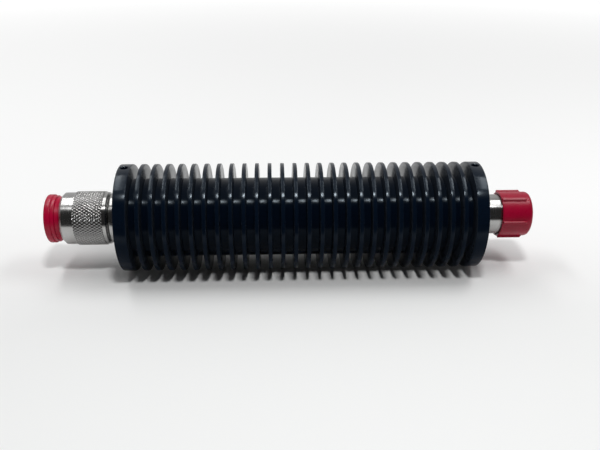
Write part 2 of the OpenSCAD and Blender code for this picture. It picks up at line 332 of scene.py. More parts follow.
def weigh(tree, first, share, second):
    """Two patterns in one, with the given share of the first."""
    return calc(tree, "ADD", calc(tree, "MULTIPLY", first, share), calc(tree, "MULTIPLY", second, 1 - share))


def blend_colours(tree, factor, first, second):
    """Two plain colours blended by a pattern."""
    ramp = add(tree, "ShaderNodeValToRGB", {"Fac": factor})
    ramp.color_ramp.elements[0].color = (*first, 1)
    ramp.color_ramp.elements[1].color = (*second, 1)
    return ramp.outputs["Color"]


def mix_colours(tree, factor, first, second):
    """Two colours mixed, each a socket or a plain colour with its alpha."""
    return add(tree, "ShaderNodeMix", {"Factor": factor, 6: first, 7: second}, data_type="RGBA").outputs[2]


def bump(tree, height, strength, depth):
    return add(tree, "ShaderNodeBump", {
        "Height": height, "Strength": strength, "Distance": depth}).outputs[0]


def across_marks(tree, shader, amount):
    """Stretches highlights across tool marks that run round the axis."""
    round_axis = add(tree, "ShaderNodeTangent", direction_type="RADIAL", axis="X").outputs[0]
    tree.links.new(round_axis, shader.inputs["Tangent"])
    shader.inputs["Anisotropic"].default_value = amount
    shader.inputs["Anisotropic Rotation"].default_value = QUARTER_TURN


print("finish helpers ready")

# %% [markdown]
# ### Black anodised aluminium
# Anodising leaves a hard, slightly blue-black skin with a satin gloss over the tool marks. The skin is a
# clear layer with dye in it, so it is shaded as a dark plastic-like coat and not as a metal. The tool marks
# run round the axis, so a highlight is short round the fin and long across it: that is anisotropy, with a
# tangent that runs round the axis. The flanks of the fins, which face along the axis, are duller and greyer
# than the rims, and the rims shine more than the core. Faces that point down lose most of their gloss, which
# is painted shade on the underside. Dust and handling lighten the skin a little in blotches.

# %% Where the anodised skin changes
flanks_within = (66.6 * MM, 67.0 * MM)
rims_beyond = (19.2 * MM, 19.8 * MM)
flank_facing = (0.7, 0.98)
underside_shade_range = (-0.1, 0.4)

anodised, tree, shader, place = finish("black_anodised")
rings = lathe_rings(tree, place)
along_axis, radius, _ = parts_of(tree, rings)
facing, _, upward = parts_of(tree, add(tree, "ShaderNodeNewGeometry").outputs["Normal"])
from_middle = calc(tree, "ABSOLUTE", calc(tree, "SUBTRACT", along_axis, sink_middle))
sideways = spread(tree, calc(tree, "ABSOLUTE", facing), 0, 1, *flank_facing)
flank = calc(tree, "MULTIPLY", spread(tree, from_middle, 1, 0, *flanks_within), sideways)
rim = spread(tree, radius, 0, 1, *rims_beyond)
# Where faces turn downwards the gloss fades out: painted shade on the underside.
above = spread(tree, upward, 0, 1, *underside_shade_range)
print("flanks end", [round(d / MM, 1) for d in flanks_within], "mm from the middle of the bar")

# %% Black anodised finish
core_gloss, rim_gloss, shaded_under_gloss, rim_polish = 0.09, 0.17, 0.06, -0.02

marks = grain(tree, rings, scale=3200.0, detail=4.0)
blotch = grain(tree, place, scale=90.0)
shade = weigh(tree, marks, 0.35, blotch)
blotches = spread(tree, shade, 0, 1)
rim_tone = blend_colours(tree, blotches, (0.0012, 0.0042, 0.0110), (0.0022, 0.0062, 0.0150))
flank_tone = blend_colours(tree, blotches, (0.012, 0.016, 0.024), (0.018, 0.023, 0.032))
tree.links.new(mix_colours(tree, flank, rim_tone, flank_tone), shader.inputs["Base Color"])
satin = calc(tree, "MULTIPLY_ADD", rim, rim_polish, spread(tree, shade, 0.22, 0.255))
tree.links.new(satin, shader.inputs["Roughness"])
tree.links.new(bump(tree, marks, strength=0.12, depth=0.02 * MM), shader.inputs["Normal"])
upper_gloss = calc(tree, "MULTIPLY_ADD", rim, rim_gloss, core_gloss)
# Faces that point down keep only the lowest gloss, as painted shade on the underside.
gloss = calc(tree, "MULTIPLY_ADD", above, upper_gloss, shaded_under_gloss)
tree.links.new(gloss, shader.inputs["Specular IOR Level"])
shader.inputs["Specular Tint"].default_value = (0.78, 0.91, 1.0, 1)
across_marks(tree, shader, amount=0.9)
print("finish:", anodised.name)

# %% [markdown]
# ### Stainless steel, turned
# Passivated stainless is a warm grey metal. The tool leaves rings finer than a tenth of a millimetre, which
# stretch a highlight along the axis, and small stains change its gloss. The same recipe, with other colours,
# serves for the plated contacts, the black steel and the bare aluminium. In the knurl's grooves the nut's
# steel is darkened as painted shade, and it stays bright on the plain bands, which lie lower still.

# %% Recipe for turned metal
GROOVE_SHADE = (0.05, 0.05, 0.05, 1)


def turned_metal(name, dark, light, rough, stretch=0.5, grooves=None):
    """Grooves: three radii of painted shade, just over the plain bands, where it is full, where it is gone.
    """
    made, tree, shader, place = finish(name)
    rings = lathe_rings(tree, place)
    marks = grain(tree, rings, scale=5200.0, detail=4.0, rough=0.6)
    stain = grain(tree, place, scale=160.0, detail=4.0)
    shader.inputs["Metallic"].default_value = 1.0
    tone = blend_colours(tree, spread(tree, stain, 0, 1), dark, light)
    # In the knurl the colour darkens towards the grooves: painted shade.
    if grooves:
        band, full, gone = grooves
        radius = parts_of(tree, rings)[1]
        in_knurl = calc(tree, "GREATER_THAN", radius, band)
        painted_groove_shade = calc(tree, "MULTIPLY", spread(tree, radius, 1, 0, full, gone), in_knurl)
        tone = mix_colours(tree, painted_groove_shade, tone, GROOVE_SHADE)
    tree.links.new(tone, shader.inputs["Base Color"])
    tree.links.new(spread(tree, weigh(tree, marks, 0.5, stain), *rough), shader.inputs["Roughness"])
    tree.links.new(bump(tree, marks, strength=0.15, depth=0.01 * MM), shader.inputs["Normal"])
    across_marks(tree, shader, stretch)
    print("finish:", name)
    return made


print("recipe for turned metal ready")

# %% Steel, plate and bare aluminium
# The nut's plain bands, and the grooves and peaks of its knurl.
band_r, groove_r, peak_r = 10.2, 10.33, 10.6
# Radii where the knurl's painted groove shade starts, is full and is gone.
nut_groove_shade = ((band_r + 0.05) * MM, (groove_r - 0.02) * MM, (groove_r + 0.13) * MM)
turned_steel = {"rough": (0.24, 0.29), "stretch": 0.95}

stainless = turned_metal("turned_stainless", (0.42, 0.417, 0.41), (0.50, 0.497, 0.49), **turned_steel)
nut_steel = turned_metal("knurled_stainless", (0.43, 0.427, 0.42), (0.51, 0.507, 0.50), **turned_steel,
                         grooves=nut_groove_shade)
white_bronze = turned_metal("white_bronze_plate", (0.60, 0.57, 0.49), (0.70, 0.67, 0.60), rough=(0.14, 0.22))
gold = turned_metal("gold_plate", (0.72, 0.47, 0.14), (0.83, 0.58, 0.21), rough=(0.14, 0.22))
oxide_steel = turned_metal("black_oxide_steel", (0.055, 0.055, 0.06), (0.11, 0.11, 0.115), rough=(0.32, 0.45))
bare_aluminium = turned_metal("machined_aluminium", (0.70, 0.71, 0.72), (0.79, 0.80, 0.81),
                              rough=(0.24, 0.34))

# %% [markdown]
# ### Moulded and soft pieces
# The dust covers are soft red plastic with a finely uneven skin, and the colour is a little cloudy. White
# insulator, gasket rubber and the ceramic card share the same recipe with their own colours and gloss.

# %% Moulded finishes


def moulded(name, dark, light, rough, skin_scale, skin_depth, gloss=0.5):
    made, tree, shader, place = finish(name)
    cloud = grain(tree, place, scale=140.0)
    skin = grain(tree, place, skin_scale, detail=4.0, rough=0.6)
    tree.links.new(blend_colours(tree, spread(tree, cloud, 0, 1), dark, light), shader.inputs["Base Color"])
    tree.links.new(spread(tree, skin, *rough), shader.inputs["Roughness"])
    tree.links.new(bump(tree, skin, strength=0.25, depth=skin_depth), shader.inputs["Normal"])
    shader.inputs["Specular IOR Level"].default_value = gloss
    print("finish:", name)
    return made


soft_skin = {"rough": (0.26, 0.34), "skin_scale": 1500.0, "skin_depth": 0.03 * MM, "gloss": 0.30}
red_plastic = moulded("red_soft_plastic", (0.37, 0.0006, 0.027), (0.45, 0.0012, 0.037), **soft_skin)
cap_red = moulded("cap_red_plastic", (0.31, 0.0005, 0.022), (0.37, 0.0010, 0.030), **soft_skin)
fluoropolymer = moulded("white_fluoropolymer", (0.82, 0.82, 0.79), (0.88, 0.88, 0.86),
                        rough=(0.38, 0.48), skin_scale=1800.0, skin_depth=0.01 * MM)
silicone = moulded("gasket_silicone", (0.36, 0.06, 0.03), (0.44, 0.09, 0.045),
                   rough=(0.5, 0.62), skin_scale=2200.0, skin_depth=0.02 * MM)
ceramic = moulded("white_alumina", (0.80, 0.79, 0.74), (0.87, 0.86, 0.82),
                  rough=(0.42, 0.55), skin_scale=2600.0, skin_depth=0.01 * MM)

# %% [markdown]
# ## The finned heat sink
# This is the piece that makes the object what it is: one bar of aluminium with 26 disc fins turned out of it.
# The fins follow a strict rule, so a tree makes one stretch of bar from mid-gap to mid-gap, with its root
# fillets and rounded rim, swings it round, and repeats it along a line. The end flanges and the bore do not
# repeat, so the lathe makes those, and the two meshes share their rings of points where they meet.

# %% The fin tree
fins, given = shape_tree("fins", {
    "Fins": "Int", "Pitch": "Float", "Thickness": "Float", "Fin radius": "Float", "Core radius": "Float",
    "Edge round": "Float", "Root round": "Float", "First": "Vector", "Segments": "Int",
    "Axis height": "Float", "Finish": "Material"})
core, crest = given["Core radius"], given["Fin radius"]
half_pitch = calc(fins, "DIVIDE", given["Pitch"], 2.0)
half_thick = calc(fins, "DIVIDE", given["Thickness"], 2.0)
minus_pitch = calc(fins, "MULTIPLY", half_pitch, -1.0)
minus_thick = calc(fins, "MULTIPLY", half_thick, -1.0)
corners = [(minus_pitch, core), (minus_thick, core), (minus_thick, crest),
           (half_thick, crest), (half_thick, core), (half_pitch, core)]
pick = add(fins, "GeometryNodeIndexSwitch", data_type="VECTOR")
# The switch starts with two items, so each further corner adds one.
for _ in corners[2:]:
    pick.index_switch_items.new()
fins.links.new(point_number(fins), pick.inputs["Index"])
for number, (x, r) in enumerate(corners):
    fins.links.new(vector_of(fins, x, r), pick.inputs[number + 1])
line = add(fins, "GeometryNodeMeshLine", {"Count": len(corners)}).outputs[0]
section = as_curve(fins, moved(fins, line, pick.outputs[0]))
out_from_axis = parts_of(fins, add(fins, "GeometryNodeInputPosition").outputs[0])[1]
past_root = calc(fins, "ADD", core, 0.1 * MM)
at_rim = add(fins, "FunctionNodeCompare", {0: out_from_axis, 1: past_root},
             data_type="FLOAT", operation="GREATER_THAN").outputs[0]
rounds = {"Switch": at_rim, "False": given["Root round"], "True": given["Edge round"]}
corner = add(fins, "GeometryNodeSwitch", rounds, input_type="FLOAT").outputs[0]
grid, along, radius, turn, _ = swing(fins, ease(fins, section, corner), given["Segments"])
one_fin = lay_round(fins, grid, along, radius, turn, given["Axis height"])
row = add(fins, "GeometryNodeMeshLine", {
    "Count": given["Fins"], "Start Location": given["First"],
    "Offset": vector_of(fins, given["Pitch"])}).outputs[0]
many = add(fins, "GeometryNodeInstanceOnPoints", {"Points": row, "Instance": one_fin}).outputs[0]
close_tree(fins, made_real(fins, many), given["Finish"])
print("fin tree ready, corners in a section:", len(corners))

# %% One fin, repeated
SINK_SEGMENTS = 144
fin_count, fin_pitch, fin_thick = 26, 4.89, 1.5
core_r, flange_thick = 15.35, 4.7
edge_round, root_round = 0.22, 0.35
gap = fin_pitch - fin_thick

first_fin = plug_face + (flange_thick + gap + fin_thick / 2) * MM
fin_stack = grow("fin_stack", bpy.data.meshes.new("fin_start"), fins, {
    "Fins": fin_count, "Pitch": fin_pitch * MM, "Thickness": fin_thick * MM, "Fin radius": fin_r,
    "Core radius": core_r * MM, "Edge round": edge_round * MM, "Root round": root_round * MM,
    "First": (first_fin, 0, 0), "Segments": SINK_SEGMENTS, "Axis height": axis_z, "Finish": anodised})
print("fins:", fin_count, "from", round(first_fin / MM, 2), "mm, faces:", len(fin_stack.data.polygons))

# %% The flanges, the seats and the bore
rim_r = fin_r / MM
seat_r, seat_deep, bore_r = 9.0, 12.0, 7.0
flange_round, seat_round = 0.35, 0.25
mid_gap = flange_thick + gap / 2
ends_outline = [
    (at_u(-mid_gap), core_r), (at_u(-flange_thick), core_r, root_round),
    (at_u(-flange_thick), rim_r, flange_round), (at_u(0), rim_r, flange_round), (at_u(0), seat_r, seat_round),
    (at_u(-seat_deep), seat_r), (at_u(-seat_deep), bore_r), (at_v(-seat_deep), bore_r),
    (at_v(-seat_deep), seat_r), (at_v(0), seat_r, seat_round), (at_v(0), rim_r, flange_round),
    (at_v(-flange_thick), rim_r, flange_round), (at_v(-flange_thick), core_r, root_round),
    (at_v(-mid_gap), core_r)]
bar_ends = turned("bar_ends", ends_outline, anodised, SINK_SEGMENTS)
finned_bar = finished("finned_bar", [fin_stack, bar_ends])

# %% [markdown]
# ## Set screws and their holes
# Two set screws in the rim of each flange hold the connectors. A hole is drilled by a Boolean with one
# cutter per screw, and the cutters come from the same tree that places the screws, so the two always agree.
# A small countersink breaks the edge of each hole.

# %% Four places round the flanges
screw_places, given = shape_tree("screw_places", {
    "Plug end": "Float", "Jack end": "Float", "Around": "Int", "Axis height": "Float", "Finish": "Material"})
total = calc(screw_places, "MULTIPLY", given["Around"], 2.0)
points = add(screw_places, "GeometryNodeMeshLine", {"Count": total}).outputs[0]
number = point_number(screw_places)
at_jack = calc(screw_places, "GREATER_THAN", calc(screw_places, "ADD", number, 0.5), given["Around"])
end_to_end = calc(screw_places, "SUBTRACT", given["Jack end"], given["Plug end"])
along = calc(screw_places, "ADD", given["Plug end"], calc(screw_places, "MULTIPLY", at_jack, end_to_end))
points = moved(screw_places, points, vector_of(screw_places, along, 0.0, given["Axis height"]))
swung = calc(screw_places, "DIVIDE", calc(screw_places, "MULTIPLY", number, math.tau), given["Around"])
placed = add(screw_places, "GeometryNodeInstanceOnPoints", {
    "Points": points, "Instance": given["Geometry"], "Rotation": vector_of(screw_places, swung)}).outputs[0]
close_tree(screw_places, made_real(screw_places, placed), given["Finish"])
places = {"Plug end": at_u(-flange_thick / 2), "Jack end": at_v(-flange_thick / 2), "Around": 2,
          "Axis height": axis_z}
print("set screws in each flange:", places["Around"])

# %% Make the screws
ROUND, HEXAGON = 24, 6
screw_r, screw_top, screw_foot = 1.5, 19.5, 9.0
tip_r, tip_high = 1.0, 0.5
bevel_r, bevel_deep = 1.25, 0.3
socket_r, socket_deep = 0.865, 2.0


def stack_rings(name, rings):
    """A closed mesh of rings from the bottom up. A ring is (radius, height, sides), the first two in mm."""
    made = bmesh.new()
    loops = []
    for radius, height, sides in rings:
        loop = []
        wedge = math.tau / sides
        for i in range(ROUND):
            a = math.tau * i / ROUND
            reach = radius
            if sides < ROUND:
                reach = radius * math.cos(wedge / 2) / math.cos((a % wedge) - wedge / 2)
            loop.append(made.verts.new((reach * math.cos(a) * MM, reach * math.sin(a) * MM, height * MM)))
        loops.append(loop)
    for low, high in zip(loops, loops[1:]):
        for i in range(ROUND):
            after = (i + 1) % ROUND
            made.faces.new((low[i], low[after], high[after], high[i]))
    made.faces.new(list(reversed(loops[0])))
    made.faces.new(loops[-1])
    mesh = bpy.data.meshes.new(name)
    made.to_mesh(mesh)
    made.free()
    return mesh


screw = stack_rings("set_screw", [
    (tip_r, screw_foot, ROUND), (screw_r, screw_foot + tip_high, ROUND),
    (screw_r, screw_top - bevel_deep, ROUND), (bevel_r, screw_top, ROUND),
    (socket_r, screw_top, HEXAGON), (socket_r, screw_top - socket_deep, HEXAGON)])
set_screws = finished("set_screws", [grow("screws", screw, screw_places, {**places, "Finish": oxide_steel})])

# %% Drill the holes
hole_r, countersink_r = screw_r + 0.02, screw_r + 0.45
hole_from, hole_to = seat_r - 0.8, rim_r + 1
countersink_from, countersink_to = rim_r - 0.3, rim_r + 0.13

drill = stack_rings("drill", [
    (hole_r, hole_from, ROUND), (hole_r, countersink_from, ROUND),
    (countersink_r, countersink_to, ROUND), (countersink_r, hole_to, ROUND)])
drills = grow("drills", drill, screw_places, {**places, "Finish": anodised})
cutter = finned_bar.modifiers.new("holes", "BOOLEAN")
cutter.object = drills
cutter.operation = "DIFFERENCE"
cutter.solver = "EXACT"
drilled = bpy.data.meshes.new_from_object(finned_bar.evaluated_get(bpy.context.evaluated_depsgraph_get()))
finned_bar.modifiers.clear()
finned_bar.data = drilled
bpy.data.objects.remove(drills)
drilled.shade_smooth()
drilled.set_sharp_from_angle(angle=math.radians(CREASE))
print("finned bar drilled:", len(drilled.polygons), "faces")

# %% [markdown]
# ## The plug's body
# A stainless body is pressed into the left flange. Its bright collar shows between the flange and the nut.
# The neck, with the groove for the retaining ring, lies under the nut, and the hub inside is seen only when
# the dust plug is out.

# %% Turn the plug's body
collar_r, collar_end = 10.05, 4.0
neck_r, neck_end = 7.0, 11.4
ring_from, ring_to, ring_floor = 5.5, 6.5, 6.3
hub_r, hub_end, hub_bore = 5.25, 12.6, 4.025
pin_bore = 3.5
plug_outline = [
    (at_u(-seat_deep), pin_bore), (at_u(-seat_deep), seat_r, 0.2), (at_u(0), seat_r),
    (at_u(0), collar_r, 0.12), (at_u(collar_end), collar_r, 0.35), (at_u(collar_end), neck_r, 0.1),
    (at_u(ring_from), neck_r),
    (at_u(ring_from), ring_floor), (at_u(ring_to), ring_floor), (at_u(ring_to), neck_r),
    (at_u(neck_end), neck_r, 0.15), (at_u(neck_end), hub_r), (at_u(hub_end), hub_r, 0.15),
    (at_u(hub_end), hub_bore), (at_u(collar_end), hub_bore), (at_u(collar_end), pin_bore),
    (at_u(-seat_deep), pin_bore)]
plug_collar = finished("plug_collar", [turned("plug_turned", plug_outline, stainless)])

# %% [markdown]
# ## The coupling nut: diamond knurl and thread
# Two sets of grooves, rolled in crosswise, leave rows of little rounded pyramids. A grid with six steps to
# each diamond makes that one rule: a point is lowest where row plus column, or row less column, is a multiple
# of six, and rises in a soft curve to a peak three steps away. The first and last rings drop straight down to
# the plain bands. The thread inside is a grid too, whose radius rises and falls along the axis and shifts by
# one pitch in each turn. Both grids share their first and last rings with the turned parts.

# %% The knurl tree
DIAMOND_STEPS = 6

knurl, given = shape_tree("knurl", {
    "Around": "Int", "Rows": "Int", "From": "Float", "To": "Float", "Groove radius": "Float",
    "Peak radius": "Float", "End radius": "Float", "Axis height": "Float", "Finish": "Material"})


def off_groove(steps):
    """Steps to the nearest groove of one set."""
    past = calc(knurl, "MODULO", steps, DIAMOND_STEPS)
    return calc(knurl, "MINIMUM", past, calc(knurl, "SUBTRACT", DIAMOND_STEPS, past))


columns = calc(knurl, "MULTIPLY", given["Around"], DIAMOND_STEPS)
steps = calc(knurl, "MULTIPLY", given["Rows"], DIAMOND_STEPS)
grid, ring, column = round_grid(knurl, calc(knurl, "ADD", steps, 3.0), columns)
inner_ring = calc(knurl, "SUBTRACT", ring, 1.0)
row = add(knurl, "ShaderNodeClamp", {"Value": inner_ring, "Min": 0.0, "Max": steps}).outputs[0]
off_rising = off_groove(calc(knurl, "ADD", row, column))
off_falling = off_groove(calc(knurl, "ADD", calc(knurl, "SUBTRACT", row, column), columns))
climb = calc(knurl, "DIVIDE", calc(knurl, "MINIMUM", off_rising, off_falling), DIAMOND_STEPS / 2)
soft_curve = calc(knurl, "MULTIPLY_ADD", climb, -2.0, 3.0)
share = calc(knurl, "MULTIPLY", calc(knurl, "MULTIPLY", climb, climb), soft_curve)
height = calc(knurl, "SUBTRACT", given["Peak radius"], given["Groove radius"])
body = calc(knurl, "MULTIPLY_ADD", share, height, given["Groove radius"])
past_end = calc(knurl, "ABSOLUTE", calc(knurl, "SUBTRACT", ring, calc(knurl, "ADD", row, 1.0)))
at_end = calc(knurl, "GREATER_THAN", past_end, 0.5)
drop = calc(knurl, "MULTIPLY", at_end, calc(knurl, "SUBTRACT", body, given["End radius"]))
radius = calc(knurl, "SUBTRACT", body, drop)
length = calc(knurl, "SUBTRACT", given["To"], given["From"])
along = calc(knurl, "ADD", given["From"], calc(knurl, "MULTIPLY", calc(knurl, "DIVIDE", row, steps), length))
turn = calc(knurl, "DIVIDE", calc(knurl, "MULTIPLY", column, math.tau), columns)
laid = lay_round(knurl, grid, along, radius, turn, given["Axis height"])
split = add(knurl, "GeometryNodeTriangulate", {"Mesh": laid}, quad_method="SHORTEST_DIAGONAL").outputs[0]
close_tree(knurl, split, given["Finish"])
print("knurl tree ready, steps to a diamond:", DIAMOND_STEPS)

# %% The thread tree
TURN_ROWS = 12.0
FLANK_SLOPE, FLANK_FOOT = 1.5, 0.25

thread, given = shape_tree("thread", {
    "From": "Float", "To": "Float", "Pitch": "Float", "Start radius": "Float", "Far radius": "Float",
    "Segments": "Int", "Axis height": "Float", "Finish": "Material"})
span = calc(thread, "SUBTRACT", given["To"], given["From"])
turns = calc(thread, "DIVIDE", calc(thread, "ABSOLUTE", span), given["Pitch"])
rows = calc(thread, "ADD", calc(thread, "CEIL", calc(thread, "MULTIPLY", turns, TURN_ROWS)), 1.0)
grid, row, column = round_grid(thread, rows, given["Segments"])
share = calc(thread, "DIVIDE", row, calc(thread, "SUBTRACT", rows, 1.0))
along = calc(thread, "ADD", given["From"], calc(thread, "MULTIPLY", share, span))
circle = calc(thread, "DIVIDE", column, given["Segments"])
phase = calc(thread, "FRACT", calc(thread, "ADD", calc(thread, "DIVIDE", along, given["Pitch"]), circle))
off_crest = calc(thread, "ABSOLUTE", calc(thread, "SUBTRACT", calc(thread, "MULTIPLY", phase, 2.0), 1.0))
ridge = calc(thread, "SUBTRACT", 1.0, off_crest)
sloped = calc(thread, "SUBTRACT", calc(thread, "MULTIPLY", ridge, FLANK_SLOPE), FLANK_FOOT)
flank = add(thread, "ShaderNodeClamp", {0: sloped}).outputs[0]
edge = calc(thread, "MULTIPLY", calc(thread, "MINIMUM", share, calc(thread, "SUBTRACT", 1.0, share)), turns)
fade = add(thread, "ShaderNodeClamp", {0: edge}).outputs[0]
depth = calc(thread, "SUBTRACT", given["Far radius"], given["Start radius"])
rise = calc(thread, "MULTIPLY", calc(thread, "MULTIPLY", flank, fade), depth)
radius = calc(thread, "ADD", given["Start radius"], rise)
turn = calc(thread, "MULTIPLY", circle, math.tau)
close_tree(thread, lay_round(thread, grid, along, radius, turn, given["Axis height"]), given["Finish"])
print("thread tree ready, rows to a turn:", int(TURN_ROWS))

# %% Roll the knurl and cut the nut's thread
diamonds_around, diamond_rows = 56, 6
NUT_SEGMENTS = diamonds_around * DIAMOND_STEPS
knurl_from, knurl_to = 6.5, 17.5
thread_pitch, thread_from, thread_to = 1.06, 13.0, 22.0
thread_minor, thread_major = 7.3275, 7.9

nut_knurl = grow("nut_knurl", bpy.data.meshes.new("knurl_start"), knurl, {
    "Around": diamonds_around, "Rows": diamond_rows, "From": at_u(knurl_from), "To": at_u(knurl_to),
    "Groove radius": groove_r * MM, "Peak radius": peak_r * MM, "End radius": band_r * MM,
    "Axis height": axis_z, "Finish": nut_steel})
nut_thread = grow("nut_thread", bpy.data.meshes.new("thread_start"), thread, {
    "From": at_u(thread_from), "To": at_u(thread_to), "Pitch": thread_pitch * MM,
    "Start radius": thread_minor * MM, "Far radius": thread_major * MM, "Segments": NUT_SEGMENTS,
    "Axis height": axis_z, "Finish": nut_steel})
print("diamonds:", diamonds_around * diamond_rows, "thread pitch:", thread_pitch, "mm")

# %% Put the nut together
KNURL_CREASE = 50
nut_back, nut_front = 4.5, 23.0
back_r, back_bevel_end = 9.5, 5.2
front_r, front_bevel_from = 9.15, 21.9
nut_mouth_r = 7.876
# The nut slips on the plug's neck, and a groove inside it catches the retaining ring.
slip_r, slip_end = 7.06, 9.4
catch_from, catch_to, catch_r = 5.3, 6.7, 7.8
front_outline = [
    (at_u(knurl_to), band_r), (at_u(front_bevel_from), band_r, 0.12), (at_u(nut_front), front_r, 0.12),
    (at_u(nut_front), nut_mouth_r, 0.1), (at_u(thread_to), thread_minor)]
back_outline = [
    (at_u(thread_from), thread_minor), (at_u(slip_end), thread_minor), (at_u(slip_end), slip_r),
    (at_u(catch_to), slip_r), (at_u(catch_to), catch_r), (at_u(catch_from), catch_r),
    (at_u(catch_from), slip_r), (at_u(nut_back), slip_r, 0.1), (at_u(nut_back), back_r, 0.15),
    (at_u(back_bevel_end), band_r, 0.15), (at_u(knurl_from), band_r)]
nut_front_part = turned("nut_front", front_outline, nut_steel, NUT_SEGMENTS)
nut_back_part = turned("nut_back", back_outline, nut_steel, NUT_SEGMENTS)
nut_parts = [nut_knurl, nut_thread, nut_front_part, nut_back_part]
knurled_nut = finished("knurled_nut", nut_parts, crease=KNURL_CREASE)

# %% [markdown]
# ## The jack's barrel
# The jack is smooth behind and threaded towards its mouth, where the dust cap covers it. A shallow groove at
# its foot lets the mating nut run up to the face.

# %% Turn the barrel and cut its thread
barrel_r, thread_root = 7.9, 7.33
relief_from, relief_to, relief_r = 0.8, 1.6, 7.65
smooth_end, cut_from, cut_to = 9.0, 9.6, 18.9
mouth_r, mouth_floor, mouth_end = 4.2, 10.6, 19.7
jack_foot = [
    (at_v(mouth_floor), mouth_r), (at_v(mouth_floor), pin_bore), (at_v(-seat_deep), pin_bore),
    (at_v(-seat_deep), seat_r, 0.2), (at_v(0), seat_r), (at_v(0), barrel_r),
    (at_v(relief_from), barrel_r, 0.08), (at_v(relief_from), relief_r), (at_v(relief_to), relief_r),
    (at_v(relief_to), barrel_r, 0.08),
    (at_v(smooth_end), barrel_r, 0.1), (at_v(cut_from), thread_root)]
jack_lip = [
    (at_v(cut_to), thread_root), (at_v(mouth_end), thread_root, 0.15), (at_v(mouth_end), mouth_r, 0.2),
    (at_v(mouth_floor), mouth_r)]
barrel_foot = turned("barrel_foot", jack_foot, stainless)
barrel_lip = turned("barrel_lip", jack_lip, stainless)
barrel_thread = grow("barrel_thread", bpy.data.meshes.new("barrel_start"), thread, {
    "From": at_v(cut_from), "To": at_v(cut_to), "Pitch": thread_pitch * MM, "Start radius": thread_root * MM,
    "Far radius": barrel_r * MM, "Segments": LATHE_SEGMENTS, "Axis height": axis_z, "Finish": stainless})
jack_barrel = finished("jack_barrel", [barrel_foot, barrel_thread, barrel_lip])

# %% [markdown]
# ## The red dust plug
# The plug is a soft moulding: a hollow shank that grips the nut's thread, a taper, a rim and a rounded disc
# to pull on. All of it is round, so the lathe makes it in one piece, with generous rounds.

# %% Turn the dust plug
COVER_CREASE = 40
hollow_r, hollow_floor = 4.425, 26.05
shank_r, shank_from, shank_end = 7.2275, 16.0, 22.0
taper_r, taper_end = 8.71, 24.7
neck_line_r, neck_line_at = 8.4, 24.95
lip_r, lip_from, lip_to = 9.1, 25.05, 26.2
crease_r, crease_at = 9.06, 26.275
disc_r, disc_from, disc_to = 9.5, 26.4, 28.65
plug_shape = [
    (at_u(hollow_floor), 0), (at_u(hollow_floor), hollow_r, 0.5), (at_u(shank_from), hollow_r, 0.3),
    (at_u(shank_from), shank_r, 0.4), (at_u(shank_end), shank_r, 0.25), (at_u(taper_end), taper_r, 0.05),
    (at_u(neck_line_at), neck_line_r, 0.05), (at_u(lip_from), lip_r, 0.15), (at_u(lip_to), lip_r, 0.1),
    (at_u(crease_at), crease_r, 0.03), (at_u(disc_from), disc_r, 0.3), (at_u(disc_to), disc_r, 0.3),
    (at_u(disc_to), 0)]
red_plug = finished("red_plug", [turned("plug_moulded", plug_shape, red_plastic)], crease=COVER_CREASE)

# %% [markdown]
# ## The ribbed dust cap
# Six straight ribs give the fingers a grip. The cap is swung like the other pieces, and the tree then lifts
# the wall wherever a point is close to the middle of a rib, by a share that is stored along the half section.
# Lifting the wall gives each rib the soft foot of a moulding, which a separate box stuck on would not have.

# %% The ribbed cap tree
ribbed, given = shape_tree("ribbed_cap", {
    "Ribs": "Int", "First rib": "Float", "Rib width": "Float", "Rib height": "Float", "Foot": "Float",
    "Segments": "Int", "Axis height": "Float", "Finish": "Material"})
drawn = as_curve(ribbed, given["Geometry"])
grid, along, radius, turn, row = swing(ribbed, drawn, given["Segments"])
stored = add(ribbed, "GeometryNodeInputNamedAttribute", {"Name": "rib"}, data_type="FLOAT").outputs[0]
lift = from_outline(ribbed, drawn, stored, row, "FLOAT")
sector = calc(ribbed, "DIVIDE", math.tau, given["Ribs"])
from_rib = calc(ribbed, "DIVIDE", calc(ribbed, "SUBTRACT", turn, given["First rib"]), sector)
off_rib = calc(ribbed, "SUBTRACT", from_rib, calc(ribbed, "ROUND", from_rib))
beside = calc(ribbed, "MULTIPLY", calc(ribbed, "MULTIPLY", calc(ribbed, "ABSOLUTE", off_rib), sector), radius)
half_width = calc(ribbed, "DIVIDE", given["Rib width"], 2.0)
slope = add(ribbed, "ShaderNodeMapRange", {
    "Value": beside, "From Min": calc(ribbed, "SUBTRACT", half_width, given["Foot"]),
    "From Max": calc(ribbed, "ADD", half_width, given["Foot"]), "To Min": 1.0, "To Max": 0.0},
    interpolation_type="SMOOTHSTEP").outputs[0]
lifted = calc(ribbed, "MULTIPLY", calc(ribbed, "MULTIPLY", slope, lift), given["Rib height"])
raised = calc(ribbed, "ADD", radius, lifted)
close_tree(ribbed, lay_round(ribbed, grid, along, raised, turn, given["Axis height"]), given["Finish"])
print("ribbed cap tree ready")

# %% The cap's half section
cap_r, cap_bore, cap_rim, cap_floor, cap_end = 8.85, 8.0, 9.0, 19.9, 21.2
bore_ease, mouth_ease, rim_ease = 0.3, 0.15, 0.12
cap_round, round_steps = 1.4, 8
rib_crest, crest_steps = 9.1, 7
rib_high, fade_steps = 0.8, 5
rib_rise, rise_places = 0.14, (0.16, 0.2, 0.26, 0.34)
floor_ring, end_rings = 6, (5, 2.5, 0)
